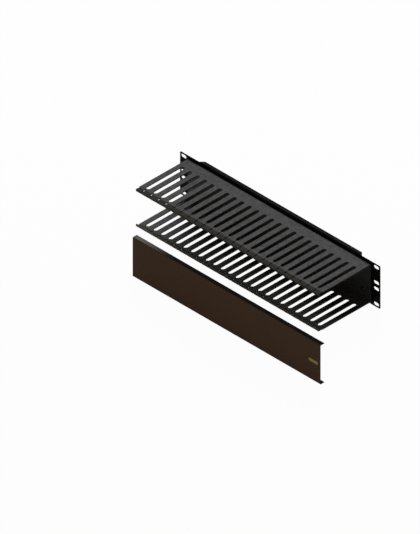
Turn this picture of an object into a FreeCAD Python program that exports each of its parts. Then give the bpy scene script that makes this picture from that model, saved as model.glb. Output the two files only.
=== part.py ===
import FreeCAD, Part
import math
import os
from FreeCAD import Vector

# Horizontal cable manager for a 19 inch rack, two rack units high.
# A flat rack panel carries a slotted channel folded from one sheet, and a
# snap-on front cover stands off to the front right of its seat.
# Millimetres. Origin: centre of the panel's rear face, which bolts to the rack.
# +X is to the right, -Y is towards the user, +Z is up.

# Rack panel, sizes from the 19 inch rack standard
panel_width = 482.6
panel_height = 88.1
panel_sheet = 1.5
panel_corner_r = 1.5
rack_slot_inset_x = 8.75
rack_slot_inset_z = 5.95
rack_inner_spacing_z = 12.7
rack_slot_length = 12.7
rack_slot_height = 7.1

# Stiffening flanges bent back along the panel's long edges
flange_root_length = 393.0
flange_depth = 8.8
flange_bevel = 7.2
flange_inner_r = 1.0

# Slotted channel
channel_length = 441.2
channel_height = 79.2
channel_depth = 126.7
channel_sheet = 2.0
channel_inner_r = 1.5
nose_depth = 8.4
nose_drop = 1.2
lip_height = 4.0

# Finger slots in the channel's top and bottom
slot_pitch = 18.0
slot_width = 8.0
slot_setback = 24.0
slot_front_gap = 4.7
end_finger_least = 9.0
slit_width = 1.4
relief_width = 2.6
relief_length = 4.6
end_notch_depth = 1.2

# Front cover
cover_overhang = 5.85
cover_sheet = 1.0
cover_inner_r = 1.0
cover_flange_depth = 9.9
cover_gap = 0.3
cover_front_gap = 0.4
cover_pull = 105.4

# Button head screws and hexagon nuts that hold the channel to the panel
screw_inset = 20.6
screw_spacing_z = 40.0
screw_r = 1.75
screw_hole_gap = 0.15
screw_thread_gap = 0.02
screw_tip_length = 1.2
head_r = 3.5
head_top_r = 1.6
head_height = 2.0
head_bulge = 0.4
socket_flats = 2.3
socket_depth = 1.1
nut_flats = 7.0
nut_height = 2.8
nut_chamfer = 0.5

# Cutters run this far past the faces they cut
cut_margin = 1.0
# Lengths this close count as equal when edges are picked
pick_tolerance = 0.01

# Places worked out from the sizes above
panel_front_y = -panel_sheet
rack_spacing_x = panel_width - 2 * rack_slot_inset_x
rack_outer_spacing_z = panel_height - 2 * rack_slot_inset_z
channel_front_y = panel_front_y - channel_depth
nose_start_y = channel_front_y + nose_depth
slotted_run = channel_length - 2 * end_finger_least
slot_count = 1 + math.floor((slotted_run - slot_width) / slot_pitch)
cover_length = channel_length + 2 * cover_overhang
screw_spacing_x = channel_length - 2 * screw_inset
screw_places = [(x * screw_spacing_x / 2, z * screw_spacing_z / 2) for x in (-1, 1) for z in (-1, 1)]


def corner_arc(before, corner, after, radius):
    """Tangent points and middle point of a round corner."""
    to_before = (before - corner).normalize()
    to_after = (after - corner).normalize()
    half_angle = to_before.getAngle(to_after) / 2
    reach = radius / math.tan(half_angle)
    centre = corner + (to_before + to_after).normalize() * (radius / math.sin(half_angle))
    middle = centre + (corner - centre).normalize() * radius
    return corner + to_before * reach, middle, corner + to_after * reach


def rounded_edges(points, radii):
    """Edges along points, each inner point rounded by its own radius, or sharp where that is None."""
    edges = []
    here = points[0]
    for i, radius in enumerate(radii, start=1):
        if radius is None:
            edges.append(Part.LineSegment(here, points[i]).toShape())
            here = points[i]
            continue
        start, middle, end = corner_arc(points[i - 1], points[i], points[i + 1], radius)
        edges.append(Part.LineSegment(here, start).toShape())
        edges.append(Part.Arc(start, middle, end).toShape())
        here = end
    edges.append(Part.LineSegment(here, points[-1]).toShape())
    return edges


def offset_points(points, distance):
    """The same line moved to its left, seen along +X with Y to the right and Z up."""
    steps = [(b - a).normalize() for a, b in zip(points, points[1:])]
    left = [Vector(0, -s.z, s.y) for s in steps]
    moved = [points[0] + left[0] * distance]
    for i in range(1, len(points) - 1):
        bisector = (left[i - 1] + left[i]).normalize()
        moved.append(points[i] + bisector * (distance / bisector.dot(left[i])))
    moved.append(points[-1] + left[-1] * distance)
    return moved


def folded_sheet(outline, sheet, inner_radii, length):
    """A sheet folded along outline, its outer face as (y, z) points, centred on X."""
    face_points = [Vector(-length / 2, y, z) for y, z in outline]
    back_points = offset_points(face_points, sheet)
    face_radii = []
    back_radii = []
    for i, radius in enumerate(inner_radii, start=1):
        before = face_points[i] - face_points[i - 1]
        after = face_points[i + 1] - face_points[i]
        outer_radius = None if radius is None else radius + sheet
        turns_left = before.cross(after).x > 0
        face_radii.append(outer_radius if turns_left else radius)
        back_radii.append(radius if turns_left else outer_radius)
    edges = rounded_edges(face_points, face_radii)
    edges.append(Part.LineSegment(face_points[-1], back_points[-1]).toShape())
    edges += rounded_edges(back_points, back_radii)
    edges.append(Part.LineSegment(back_points[0], face_points[0]).toShape())
    section = Part.Face(Part.Wire(Part.__sortEdges__(edges)))
    return section.extrude(Vector(length, 0, 0))


def round_slot(length, width, along, through, centre, depth):
    """A cutter with round ends, with along as its long direction and through as its depth direction."""
    side = through.cross(along)
    half_run = (length - width) / 2
    corner_a = centre - along * half_run + side * (width / 2)
    corner_b = centre + along * half_run + side * (width / 2)
    corner_c = centre + along * half_run - side * (width / 2)
    corner_d = centre - along * half_run - side * (width / 2)
    edges = [
        Part.LineSegment(corner_a, corner_b).toShape(),
        Part.Arc(corner_b, centre + along * (length / 2), corner_c).toShape(),
        Part.LineSegment(corner_c, corner_d).toShape(),
        Part.Arc(corner_d, centre - along * (length / 2), corner_a).toShape(),
    ]
    blank = Part.Face(Part.Wire(edges)).extrude(through * depth)
    blank.translate(through * (-depth / 2))
    return blank


def box_between(low, high):
    size = high - low
    return Part.makeBox(size.x, size.y, size.z, low)


def ear_plate():
    """The flat panel blank with its rounded outer corners."""
    blank = Part.makeBox(
        panel_width, panel_sheet, panel_height,
        Vector(-panel_width / 2, panel_front_y, -panel_height / 2),
    )
    corners = []
    for edge in blank.Edges:
        middle = edge.CenterOfMass
        across_sheet = abs(edge.Length - panel_sheet) < pick_tolerance
        if across_sheet and abs(middle.y - panel_front_y / 2) < pick_tolerance:
            corners.append(edge)
    return blank.makeFillet(panel_corner_r, corners)


def flange_fold():
    """The middle of the panel with a flange bent back along its top and bottom."""
    top_z = panel_height / 2
    back_y = panel_front_y + flange_depth
    outline = [(back_y, top_z), (panel_front_y, top_z), (panel_front_y, -top_z), (back_y, -top_z)]
    fold = folded_sheet(outline, panel_sheet, [flange_inner_r] * 2, flange_root_length)
    for side in (-1, 1):
        root_x = side * flange_root_length / 2
        bevel_points = [
            Vector(root_x, back_y - flange_bevel, -panel_height),
            Vector(root_x + side * cut_margin, back_y - flange_bevel, -panel_height),
            Vector(root_x + side * cut_margin, back_y + cut_margin, -panel_height),
            Vector(root_x - side * (flange_bevel + cut_margin), back_y + cut_margin, -panel_height),
        ]
        bevel = Part.Face(Part.makePolygon(bevel_points + bevel_points[:1]))
        fold = fold.cut(bevel.extrude(Vector(0, 0, 2 * panel_height)))
    return fold


def screw_holes():
    """Clearance holes for the channel's screws, through the panel and the channel's back."""
    start_y = panel_front_y - channel_sheet - cut_margin
    depth = panel_sheet + channel_sheet + 2 * cut_margin
    hole_r = screw_r + screw_hole_gap
    rearwards = Vector(0, 1, 0)
    return [Part.makeCylinder(hole_r, depth, Vector(x, start_y, z), rearwards) for x, z in screw_places]


def rack_panel():
    """Flat panel with four rack slots in each ear and a flange along each long edge."""
    ears = ear_plate()
    middle_low = Vector(-flange_root_length / 2, panel_front_y - cut_margin, -panel_height)
    middle_high = Vector(flange_root_length / 2, cut_margin, panel_height)
    ears = ears.cut(box_between(middle_low, middle_high))
    panel = ears.fuse(flange_fold())
    cutters = screw_holes()
    for x in (-rack_spacing_x / 2, rack_spacing_x / 2):
        for spacing_z in (rack_outer_spacing_z, rack_inner_spacing_z):
            for z in (-spacing_z / 2, spacing_z / 2):
                centre = Vector(x, panel_front_y / 2, z)
                cutters.append(
                    round_slot(rack_slot_length, rack_slot_height, Vector(1, 0, 0), Vector(0, 1, 0),
                               centre, panel_sheet + 2 * cut_margin)
                )
    return panel.cut(cutters).removeSplitter()


def channel_outline():
    """The channel's outer face from the bottom lip's edge, round the back, to the top lip's edge."""
    half = channel_height / 2
    bottom = [
        (channel_front_y, nose_drop + lip_height - half),
        (channel_front_y, nose_drop - half),
        (nose_start_y, -half),
        (panel_front_y, -half),
    ]
    return bottom + [(y, -z) for y, z in reversed(bottom)]


def keyhole(x):
    """Outline of one finger slot in plan, round at the back and narrowing to a slit at the front."""
    half = slot_width / 2
    back_y = panel_front_y - slot_setback
    front_y = nose_start_y + slot_front_gap
    corner = half * math.cos(math.radians(45))
    right = [
        Vector(x + half, back_y - half, 0),
        Vector(x + half, front_y + half, 0),
        Vector(x + corner, front_y + half - corner, 0),
        Vector(x + slit_width / 2, front_y, 0),
        Vector(x + slit_width / 2, channel_front_y - cut_margin, 0),
    ]
    left = [Vector(2 * x - point.x, point.y, 0) for point in reversed(right)]
    sides = right + left
    edges = [Part.LineSegment(a, b).toShape() for a, b in zip(sides, sides[1:])]
    edges.append(Part.Arc(sides[-1], Vector(x, back_y, 0), sides[0]).toShape())
    return Part.Face(Part.Wire(edges))


def finger_cutters():
    """One keyhole slot and one square bend relief for each gap between two fingers."""
    reach_z = channel_height
    cutters = []
    for i in range(slot_count):
        x = (i - (slot_count - 1) / 2) * slot_pitch
        slot = keyhole(x).extrude(Vector(0, 0, 2 * reach_z))
        slot.translate(Vector(0, 0, -reach_z))
        cutters.append(slot)
        cutters.append(box_between(
            Vector(x - relief_width / 2, nose_start_y - relief_length, -reach_z),
            Vector(x + relief_width / 2, nose_start_y, reach_z),
        ))
    return cutters


def end_notches():
    """Relief notches where the nose's fold meets the channel's ends."""
    notches = []
    for side in (-1, 1):
        end_x = side * channel_length / 2
        inner_x = end_x - side * end_notch_depth
        outer_x = end_x + side * cut_margin
        notches.append(box_between(
            Vector(min(inner_x, outer_x), nose_start_y - relief_length, -channel_height),
            Vector(max(inner_x, outer_x), nose_start_y, channel_height),
        ))
    return notches


def slotted_channel():
    """U-shaped channel with fingers, whose noses slope inwards and end in a lip."""
    bottom_radii = [None, None, channel_inner_r]
    radii = bottom_radii + bottom_radii[::-1]
    channel = folded_sheet(channel_outline(), channel_sheet, radii, channel_length)
    return channel.cut(finger_cutters() + end_notches() + screw_holes()).removeSplitter()


def front_cover():
    """Shallow cover whose flanges slide over the noses of the fingers."""
    half = channel_height / 2 + cover_gap + cover_sheet
    front_y = channel_front_y - cover_front_gap - cover_sheet
    back_y = front_y + cover_flange_depth
    outline = [(back_y, half), (front_y, half), (front_y, -half), (back_y, -half)]
    cover = folded_sheet(outline, cover_sheet, [cover_inner_r] * 2, cover_length)
    cover.translate(Vector(cover_pull, -cover_pull, 0))
    return cover


def hexagon(flats, y, x, z):
    """Hexagonal face across the given flats, in the plane of y."""
    corner_r = flats / math.sqrt(3)
    points = []
    for i in range(6):
        angle = math.radians(60 * i + 30)
        points.append(Vector(x + corner_r * math.cos(angle), y, z + corner_r * math.sin(angle)))
    return Part.Face(Part.makePolygon(points + points[:1]))


def button_screw(x, z):
    """Button head screw with a flat round its hexagon socket, seated on the channel's back wall."""
    seat_y = panel_front_y - channel_sheet
    tip_y = nut_height + screw_tip_length
    centre = Vector(x, seat_y, z)
    top = Vector(x, seat_y - head_height, z)
    top_edge = top + Vector(head_top_r, 0, 0)
    rim = centre + Vector(head_r, 0, 0)
    slope = rim - top_edge
    outward = Vector(slope.y, -slope.x, 0).normalize()
    dome_middle = (top_edge + rim) * 0.5 + outward * head_bulge
    edges = [
        Part.LineSegment(top, top_edge).toShape(),
        Part.Arc(top_edge, dome_middle, rim).toShape(),
        Part.LineSegment(rim, centre).toShape(),
        Part.LineSegment(centre, top).toShape(),
    ]
    head = Part.Face(Part.Wire(edges)).revolve(centre, Vector(0, 1, 0), 360)
    shank = Part.makeCylinder(screw_r, tip_y - seat_y, centre, Vector(0, 1, 0))
    socket = hexagon(socket_flats, seat_y - head_height - cut_margin, x, z)
    socket = socket.extrude(Vector(0, socket_depth + cut_margin, 0))
    return head.fuse(shank).cut(socket).removeSplitter()


def hex_nut(x, z):
    """Hexagon nut against the panel's rear face, chamfered on its outer side."""
    blank = hexagon(nut_flats, 0, x, z).extrude(Vector(0, nut_height, 0))
    corner_r = nut_flats / math.sqrt(3)
    cone = Part.makeCone(
        corner_r + nut_height - nut_chamfer / 2, corner_r - nut_chamfer / 2, nut_height,
        Vector(x, 0, z), Vector(0, 1, 0)
    )
    bore = Part.makeCylinder(screw_r + screw_thread_gap, nut_height, Vector(x, 0, z), Vector(0, 1, 0))
    return blank.common(cone).cut(bore)


parts = {
    "rack_panel": rack_panel(),
    "slotted_channel": slotted_channel(),
    "front_cover": front_cover(),
    "channel_screws": Part.makeCompound([button_screw(x, z) for x, z in screw_places]),
    "channel_nuts": Part.makeCompound([hex_nut(x, z) for x, z in screw_places]),
}

os.makedirs("parts", exist_ok=True)
for name, shape in parts.items():
    shape.exportStep("parts/" + name + ".step")
    box = shape.BoundBox
    print(name, "solids", len(shape.Solids), "valid", shape.isValid(), "volume", round(shape.Volume, 1))
    print("  x", round(box.XMin, 2), round(box.XMax, 2), "y", round(box.YMin, 2), round(box.YMax, 2),
          "z", round(box.ZMin, 2), round(box.ZMax, 2))
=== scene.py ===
import math

import bpy
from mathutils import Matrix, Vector


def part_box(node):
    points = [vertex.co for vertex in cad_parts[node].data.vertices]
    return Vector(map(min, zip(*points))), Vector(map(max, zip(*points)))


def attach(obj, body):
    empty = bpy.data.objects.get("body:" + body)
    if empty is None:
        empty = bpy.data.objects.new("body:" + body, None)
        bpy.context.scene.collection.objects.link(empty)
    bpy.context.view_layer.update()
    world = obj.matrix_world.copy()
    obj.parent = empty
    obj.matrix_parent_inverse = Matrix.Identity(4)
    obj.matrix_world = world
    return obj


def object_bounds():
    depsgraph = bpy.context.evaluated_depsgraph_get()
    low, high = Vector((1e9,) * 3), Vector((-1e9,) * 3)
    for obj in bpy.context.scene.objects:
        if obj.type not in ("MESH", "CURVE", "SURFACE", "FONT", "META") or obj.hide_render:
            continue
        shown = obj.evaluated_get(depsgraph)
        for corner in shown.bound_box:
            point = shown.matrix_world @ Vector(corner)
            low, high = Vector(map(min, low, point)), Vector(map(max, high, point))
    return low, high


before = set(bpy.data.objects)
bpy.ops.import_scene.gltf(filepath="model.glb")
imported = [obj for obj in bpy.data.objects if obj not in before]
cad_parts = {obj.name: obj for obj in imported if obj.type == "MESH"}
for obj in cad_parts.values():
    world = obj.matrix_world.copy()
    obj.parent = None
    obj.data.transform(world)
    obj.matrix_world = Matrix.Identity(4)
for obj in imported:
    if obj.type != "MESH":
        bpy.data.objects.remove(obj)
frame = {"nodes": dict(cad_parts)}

# Horizontal cable manager for a rack: finishes with painted shade and light, printed mark, stage,
# light and camera.
# Metres. +X is to the right, -Y towards the user, +Z up.
# The origin is the centre of the rack panel's rear face.

cad_low, cad_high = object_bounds()

# Camera, close to an isometric view, without perspective
camera_azimuth = math.radians(45.15)
camera_elevation = math.radians(35.06)
camera_distance = 2.0
picture_height_px = 534
picture_px_per_m = 587.2
picture_centre_right = -0.1202
picture_centre_up = -0.0633

# Stage and light
white = (1.0, 1.0, 1.0, 1.0)
floor_paint = (0.92, 0.92, 0.92, 1.0)
floor_size = 9.0
floor_drop = 0.0005
floor_glow = 0.97
sky_strength = 0.16
overhead_size = 1.8
overhead_place = (-1.5, 1.5, 1.9)
overhead_power = 46.0
front_size = 1.2
front_place = (0.7, -2.4, 0.25)
front_power = 10.0

# Where the channel's painted shade and light, and the noses' roughness, change: at the plates' inner
# faces, down the back wall, along the lower plate from its left end and at its back, between the two
# rows of fingers, where the noses start, and round each lip's fold, measured from the channel's front
inside_top_z = 0.0374
inside_blend = 0.0004
lower_plate_blend = 0.0002
wall_fade_top_z = -0.010
wall_fade_low_z = -0.031
lower_plate_fade = 0.12
back_strip_front_y = -0.035
back_strip_rear_y = -0.022
row_blend = 0.001
nose_start_y = -0.1198
nose_blend = 0.0004
nose_extra_roughness = 0.4
lip_fold = 0.0024
lip_flat = 0.0008

# Where the cover's painted light and shade change: behind its face, and along the flanges from the
# left end
flange_start = 0.0012
flange_full = 0.0016
flange_fade = 0.10

# How much a coat's tone drifts, and the part of its range that a noise mostly keeps to
tone_drift = 0.06
noise_low = 0.3
noise_high = 0.7

# The Mix node's colour sockets, which share their names with its other sockets
mix_first = 6
mix_second = 7
mix_result = 2

# Printed mark on the cover
mark_length = 0.022
mark_height = 0.0062
mark_thickness = 0.00012
mark_from_end = 0.0165
mark_corner = mark_height * 0.3
mark_corner_steps = 4


def srgb(red, green, blue):
    """A linear colour from the 0 to 255 values of a picture."""
    linear = []
    for value in (red, green, blue):
        share = value / 255
        linear.append(share / 12.92 if share <= 0.04045 else ((share + 0.055) / 1.055) ** 2.4)
    return (*linear, 1.0)


# Tones of the coats, the steel and the print; the wall, lower plate, nose, lip and flange tones are
# painted shade and painted light
channel_outside = srgb(55, 55, 55)
# Painted shade on the back wall inside the channel: darkest under the top plate, lighter towards its
# foot
painted_wall_shade_top = srgb(35, 34, 30)
painted_wall_shade_foot = srgb(62, 61, 55)
# Painted shade on the lower plate's inner face, and painted light on its back strip
painted_lower_plate_shade = srgb(42, 41, 37)
painted_lower_plate_back_light = srgb(70, 68, 62)
# Painted shade on the noses, and painted light on the lower row's lips
painted_nose_shade = srgb(68, 66, 60)
painted_lower_lip_light = srgb(98, 95, 87)
cover_brown = srgb(79, 60, 46)
# Painted light on the flanges at the cover's left end, fading to painted shade along the rest
painted_flange_light = srgb(126, 125, 120)
painted_flange_shade = srgb(3, 2, 1)
panel_black = srgb(9, 9, 8)
steel_dark = srgb(4, 4, 3)
steel_light = srgb(10, 9, 8)
gold_dark = srgb(132, 114, 62)
gold_light = srgb(150, 132, 78)


class Finish:
    """A node material with one Principled shader, and short calls that add nodes to it."""

    def __init__(self, name, specular, metallic=0.0):
        self.material = bpy.data.materials.new(name)
        self.material.use_nodes = True
        tree = self.material.node_tree
        self.nodes = tree.nodes
        self.links = tree.links
        self.nodes.clear()
        self.shader = self.nodes.new("ShaderNodeBsdfPrincipled")
        self.shader.inputs["Metallic"].default_value = metallic
        self.shader.inputs["Specular IOR Level"].default_value = specular
        output = self.nodes.new("ShaderNodeOutputMaterial")
        self.links.new(self.shader.outputs["BSDF"], output.inputs["Surface"])
        self.place = self.nodes.new("ShaderNodeTexCoord").outputs["Object"]

    def noise(self, scale, detail=2.0):
        node = self.nodes.new("ShaderNodeTexNoise")
        node.inputs["Scale"].default_value = scale
        node.inputs["Detail"].default_value = detail
        self.links.new(self.place, node.inputs["Vector"])
        return node.outputs["Fac"]

    def axis(self, letter):
        node = self.nodes.new("ShaderNodeSeparateXYZ")
        self.links.new(self.place, node.inputs["Vector"])
        return node.outputs[letter]

    def ramp(self, value, start, end, low=0.0, high=1.0):
        """Goes smoothly from low to high as the value goes from start to end."""
        node = self.nodes.new("ShaderNodeMapRange")
        node.interpolation_type = "SMOOTHSTEP"
        node.inputs["From Min"].default_value = start
        node.inputs["From Max"].default_value = end
        node.inputs["To Min"].default_value = low
        node.inputs["To Max"].default_value = high
        self.links.new(value, node.inputs["Value"])
        return node.outputs["Result"]

    def combine(self, operation, first, second):
        node = self.nodes.new("ShaderNodeMath")
        node.operation = operation
        self.links.new(first, node.inputs[0])
        self.links.new(second, node.inputs[1])
        return node.outputs["Value"]

    def mix(self, share, first, second):
        """Goes from the first colour to the second, each a plain colour or another node's."""
        node = self.nodes.new("ShaderNodeMix")
        node.data_type = "RGBA"
        self.links.new(share, node.inputs["Factor"])
        for colour, socket in ((first, mix_first), (second, mix_second)):
            if isinstance(colour, tuple):
                node.inputs[socket].default_value = colour
            else:
                self.links.new(colour, node.inputs[socket])
        return node.outputs[mix_result]

    def drifting(self, colour):
        """A colour that drifts a little darker and lighter over the surface."""
        darker, lighter = shaded(colour, 1 - tone_drift), shaded(colour, 1 + tone_drift)
        return self.mix(self.noise(scale=14.0, detail=3.0), darker, lighter)

    def colour(self, value):
        self.links.new(value, self.shader.inputs["Base Color"])

    def roughness(self, value):
        self.links.new(value, self.shader.inputs["Roughness"])

    def uneven_roughness(self, scale, detail, low, high):
        """Roughness that wanders between two values, given back for a later change."""
        value = self.ramp(self.noise(scale, detail), noise_low, noise_high, low, high)
        self.roughness(value)
        return value

    def bump(self, height, strength, distance):
        node = self.nodes.new("ShaderNodeBump")
        node.inputs["Strength"].default_value = strength
        node.inputs["Distance"].default_value = distance
        self.links.new(height, node.inputs["Height"])
        self.links.new(node.outputs["Normal"], self.shader.inputs["Normal"])


def shaded(colour, factor):
    return tuple(channel * factor for channel in colour[:3]) + (1.0,)


def powder_coat(name, colour, specular, smooth, rough):
    """Satin powder coat: a fine orange peel, and a gloss and tone that drift a little."""
    finish = Finish(name, specular)
    tone = finish.drifting(colour)
    finish.colour(tone)
    gloss = finish.uneven_roughness(scale=160.0, detail=3.0, low=smooth, high=rough)
    finish.bump(finish.noise(scale=1500.0), strength=0.12, distance=0.00005)
    return finish, tone, gloss


def channel_coat():
    """A coat with painted shade and light: darker and browner inside as painted shade, matt on the
    noses with a painted shade tone, and painted light on the lower lips.
    """
    finish, outside, gloss = powder_coat(
        "channel_coat", channel_outside, specular=0.12, smooth=0.42, rough=0.52)
    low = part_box("slotted_channel")[0]
    length = finish.axis("X")
    depth = finish.axis("Y")
    height = finish.axis("Z")

    # Painted shade down the back wall and under the top plate
    down_wall = finish.ramp(height, wall_fade_top_z, wall_fade_low_z)
    wall = finish.mix(down_wall, finish.drifting(painted_wall_shade_top), finish.drifting(painted_wall_shade_foot))
    under_top = finish.ramp(height, inside_top_z + inside_blend, inside_top_z)
    upper = finish.mix(under_top, outside, wall)

    # Painted shade on the lower plate's inner face, painted light on its back strip, and the plain
    # outside tone at its left end
    to_rear = finish.ramp(depth, back_strip_front_y, back_strip_rear_y)
    inner = finish.mix(to_rear, finish.drifting(painted_lower_plate_shade), finish.drifting(painted_lower_plate_back_light))
    from_end = finish.ramp(length, low.x, low.x + lower_plate_fade)
    lower = finish.mix(from_end, outside, inner)
    on_lower_plate = finish.ramp(height, -inside_top_z, -inside_top_z - lower_plate_blend)
    plates = finish.mix(on_lower_plate, upper, lower)

    # Painted light on the lower lips and painted shade on the noses
    in_lower_row = finish.ramp(height, row_blend, -row_blend)
    on_lip = finish.ramp(depth, low.y + lip_fold, low.y + lip_flat)
    on_lower_lip = finish.combine("MULTIPLY", in_lower_row, on_lip)
    noses = finish.mix(on_lower_lip, finish.drifting(painted_nose_shade), finish.drifting(painted_lower_lip_light))
    on_nose = finish.ramp(depth, nose_start_y, nose_start_y - nose_blend)
    finish.colour(finish.mix(on_nose, plates, noses))

    matt = finish.ramp(depth, nose_start_y, nose_start_y - nose_blend, 0.0, nose_extra_roughness)
    finish.roughness(finish.combine("ADD", gloss, matt))
    return finish.material


def cover_coat():
    """The cover's face is a warm dark coat; on its flanges, painted light at the left end fades to
    painted shade, black along the rest of their length.
    """
    finish, face, _ = powder_coat("cover_coat", cover_brown, specular=0.01, smooth=0.44, rough=0.54)
    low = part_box("front_cover")[0]
    # Painted light on the flanges at the left end, fading to painted shade along their length
    from_end = finish.ramp(finish.axis("X"), low.x, low.x + flange_fade)
    flange = finish.mix(from_end, finish.drifting(painted_flange_light), finish.drifting(painted_flange_shade))
    on_flange = finish.ramp(finish.axis("Y"), low.y + flange_start, low.y + flange_full)
    finish.colour(finish.mix(on_flange, face, flange))
    return finish.material


def panel_coat():
    """The panel's coat, nearly black on both faces."""
    finish = powder_coat("panel_coat", panel_black, specular=0.02, smooth=0.44, rough=0.54)[0]
    return finish.material


def blackened_steel():
    """Oil blackened steel with fine turning marks of uneven gloss."""
    finish = Finish("blackened_steel", specular=0.2)
    finish.colour(finish.mix(finish.noise(scale=500.0, detail=3.0), steel_dark, steel_light))
    finish.uneven_roughness(scale=900.0, detail=2.0, low=0.32, high=0.46)
    finish.bump(finish.noise(scale=2600.0), strength=0.08, distance=0.00003)
    return finish.material


def gold_print():
    """Gold ink, screen printed: slightly uneven, with a soft metallic gloss."""
    finish = Finish("gold_print", specular=0.1, metallic=0.1)
    finish.colour(finish.mix(finish.noise(scale=700.0), gold_dark, gold_light))
    finish.uneven_roughness(scale=1200.0, detail=2.0, low=0.38, high=0.52)
    finish.bump(finish.noise(scale=3000.0, detail=1.0), strength=0.06, distance=0.00002)
    return finish.material


def give(piece, material):
    piece.data.materials.clear()
    piece.data.materials.append(material)


def finish_frame():
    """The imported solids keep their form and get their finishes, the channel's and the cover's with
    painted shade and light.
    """
    nodes = frame["nodes"]
    give(nodes["rack_panel"], panel_coat())
    give(nodes["slotted_channel"], channel_coat())
    give(nodes["front_cover"], cover_coat())
    fastener = blackened_steel()
    give(nodes["channel_screws"], fastener)
    give(nodes["channel_nuts"], fastener)


def printed_mark():
    """A plain gold bar printed near the right end of the cover's face."""
    low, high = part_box("front_cover")
    centre = Vector((high.x - mark_from_end, low.y, (low.z + high.z) / 2))
    bpy.ops.object.select_all(action="DESELECT")
    bpy.ops.mesh.primitive_plane_add(size=1.0, location=centre, rotation=(math.pi / 2, 0, 0))
    mark = bpy.context.object
    mark.name = "printed_mark"
    mark.scale = (mark_length, mark_height, 1.0)
    bpy.ops.object.transform_apply(location=True, rotation=True, scale=True)
    bpy.ops.object.mode_set(mode="EDIT")
    bpy.ops.mesh.select_all(action="SELECT")
    bpy.ops.mesh.bevel(offset=mark_corner, segments=mark_corner_steps, affect="VERTICES")
    bpy.ops.mesh.select_all(action="SELECT")
    bpy.ops.mesh.extrude_region_move(TRANSFORM_OT_translate={"value": (0, -mark_thickness, 0)})
    bpy.ops.mesh.select_all(action="SELECT")
    bpy.ops.mesh.normals_make_consistent(inside=False)
    bpy.ops.object.mode_set(mode="OBJECT")
    give(mark, gold_print())
    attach(mark, "cover")


def stage_material(name, paint_colour, glow):
    """Nearly white to the camera, in reflections and through glass, and paint to all other light."""
    material = bpy.data.materials.new(name)
    material.use_nodes = True
    nodes = material.node_tree.nodes
    links = material.node_tree.links
    nodes.clear()

    def calculate(operation, first, second):
        node = nodes.new("ShaderNodeMath")
        node.operation = operation
        links.new(first, node.inputs[0])
        if isinstance(second, float):
            node.inputs[1].default_value = second
        else:
            links.new(second, node.inputs[1])
        return node.outputs["Value"]

    paint = nodes.new("ShaderNodeBsdfDiffuse")
    paint.inputs["Color"].default_value = paint_colour
    light = nodes.new("ShaderNodeEmission")
    light.inputs["Strength"].default_value = 1.0
    rays = nodes.new("ShaderNodeLightPath").outputs
    seen = calculate("MAXIMUM", rays["Is Camera Ray"], rays["Is Transmission Ray"])
    seen_or_mirrored = calculate("MAXIMUM", seen, rays["Is Glossy Ray"])
    blend = nodes.new("ShaderNodeMixShader")
    links.new(calculate("MULTIPLY", seen_or_mirrored, glow), blend.inputs["Fac"])
    links.new(paint.outputs["BSDF"], blend.inputs[1])
    links.new(light.outputs["Emission"], blend.inputs[2])
    output = nodes.new("ShaderNodeOutputMaterial")
    links.new(blend.outputs["Shader"], output.inputs["Surface"])
    return material


def make_stage():
    bpy.ops.object.select_all(action="DESELECT")
    bpy.ops.mesh.primitive_plane_add(size=floor_size, location=(0, 0, cad_low.z - floor_drop))
    floor = bpy.context.object
    floor.name = "floor"
    give(floor, stage_material("pale_floor", floor_paint, floor_glow))


def make_world():
    """A dim white sky that looks plain white to the camera."""
    world = bpy.data.worlds.new("sky")
    bpy.context.scene.world = world
    world.use_nodes = True
    nodes = world.node_tree.nodes
    links = world.node_tree.links
    nodes.clear()
    blend = nodes.new("ShaderNodeMixShader")
    for socket, strength in ((1, sky_strength), (2, 1.0)):
        sky = nodes.new("ShaderNodeBackground")
        sky.inputs["Color"].default_value = white
        sky.inputs["Strength"].default_value = strength
        links.new(sky.outputs["Background"], blend.inputs[socket])
    rays = nodes.new("ShaderNodeLightPath")
    links.new(rays.outputs["Is Camera Ray"], blend.inputs["Fac"])
    output = nodes.new("ShaderNodeOutputWorld")
    links.new(blend.outputs["Shader"], output.inputs["Surface"])


def soft_lamp(name, place, size, power):
    """A square lamp that faces the object."""
    data = bpy.data.lights.new(name, "AREA")
    data.shape = "SQUARE"
    data.size = size
    data.energy = power
    lamp = bpy.data.objects.new(name, data)
    bpy.context.collection.objects.link(lamp)
    centre = (cad_low + cad_high) / 2
    lamp.location = Vector(place)
    lamp.rotation_mode = "QUATERNION"
    lamp.rotation_quaternion = (centre - Vector(place)).to_track_quat("-Z", "Y")


def place_camera():
    """Looks down at the front right corner, at the scale and place of the picture."""
    data = bpy.data.cameras.new("camera")
    data.type = "ORTHO"
    data.ortho_scale = picture_height_px / picture_px_per_m
    camera = bpy.data.objects.new("camera", data)
    bpy.context.collection.objects.link(camera)
    flat = math.cos(camera_elevation)
    back = Vector((
        math.sin(camera_azimuth) * flat,
        -math.cos(camera_azimuth) * flat,
        math.sin(camera_elevation),
    ))
    right = Vector((math.cos(camera_azimuth), math.sin(camera_azimuth), 0))
    up = back.cross(right)
    centre = right * picture_centre_right + up * picture_centre_up
    camera.location = centre + back * camera_distance
    camera.rotation_mode = "QUATERNION"
    camera.rotation_quaternion = (-back).to_track_quat("-Z", "Y")
    bpy.context.scene.camera = camera


place_camera()
finish_frame()
printed_mark()
make_stage()
make_world()
soft_lamp("overhead", overhead_place, overhead_size, overhead_power)
soft_lamp("front", front_place, front_size, front_power)
bpy.context.scene.view_settings.view_transform = "Standard"
